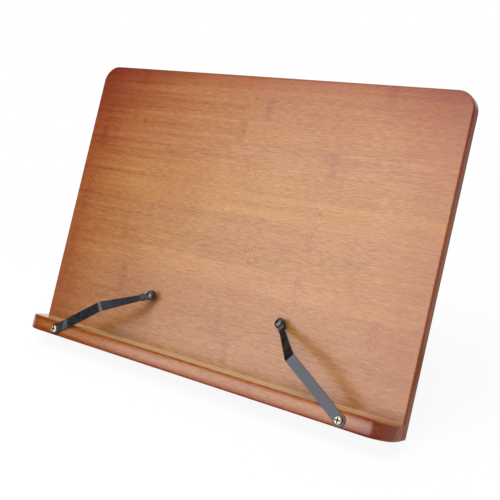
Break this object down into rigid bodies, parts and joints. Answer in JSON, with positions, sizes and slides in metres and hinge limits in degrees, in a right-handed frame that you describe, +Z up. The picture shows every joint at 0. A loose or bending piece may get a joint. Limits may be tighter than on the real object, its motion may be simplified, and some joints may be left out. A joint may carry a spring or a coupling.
{
  "type": "book stand",
  "caption": "Folding bamboo book stand: a leaning board with a ledge, sprung steel page holders and a wire strut propped on a grooved base plate.",
  "frame": {"origin": "on the table, at the middle of the open stand's footprint", "axes": "+Z up, +X to the reader's right, +Y away from the reader, so the board faces -Y"},
  "size_m": [0.34, 0.1697, 0.226],
  "materials": {
    "bamboo": "gloss",
    "bamboo_ledge": "gloss",
    "zinc_steel": "satin",
    "screw_steel": "polished",
    "holder_steel": "satin",
    "tip_plastic": "gloss",
    "foot_rubber": "matte"
  },
  "bodies": {
    "base": {"base_plate": "bamboo", "foot_front_left": "foot_rubber", "foot_front_right": "foot_rubber", "foot_rear_left": "foot_rubber", "foot_rear_right": "foot_rubber", "hinge_base_leaf_left": "zinc_steel", "hinge_base_leaf_right": "zinc_steel", "hinge_pin_left": "zinc_steel", "hinge_pin_right": "zinc_steel", "base_leaf_screws": "zinc_steel"},
    "board": {"backrest_board": "bamboo", "book_ledge": "bamboo_ledge", "hinge_board_leaf_left": "zinc_steel", "hinge_board_leaf_right": "zinc_steel", "board_leaf_screws": "zinc_steel", "ledge_screws": "zinc_steel", "strut_clip_left": "zinc_steel", "strut_clip_right": "zinc_steel", "clip_screws": "zinc_steel", "pivot_screw_left": "screw_steel", "pivot_screw_right": "screw_steel"},
    "strut": {"wire_strut": "zinc_steel"},
    "holder_left": {"page_holder_left": "holder_steel", "holder_tip_left": "tip_plastic"},
    "holder_right": {"page_holder_right": "holder_steel", "holder_tip_right": "tip_plastic"}
  },
  "joints": [
    {"name": "tilt", "type": "hinge", "parent": "base", "child": "board", "pos_m": [0, -0.0428, 0.0153], "axis": [-1, 0, 0], "range_deg": [-6, 66.3]},
    {"name": "strut_fold", "type": "hinge", "parent": "board", "child": "strut", "pos_m": [0, 0.0014, 0.11603], "axis": [1, 0, 0], "range_deg": [-12, 132.6]},
    {"name": "holder_left_swivel", "type": "hinge", "parent": "board", "child": "holder_left", "pos_m": [-0.132, -0.08127, 0.0217], "axis": [0, -0.9157, 0.4018], "range_deg": [-21, 138]},
    {"name": "holder_right_swivel", "type": "hinge", "parent": "board", "child": "holder_right", "pos_m": [0.135, -0.08127, 0.0217], "axis": [0, -0.9157, 0.4018], "range_deg": [-134.7, 24.5]}
  ],
  "couplings": [
    {"joint": "strut_fold", "follows": "tilt", "ratio": 2}
  ]
}
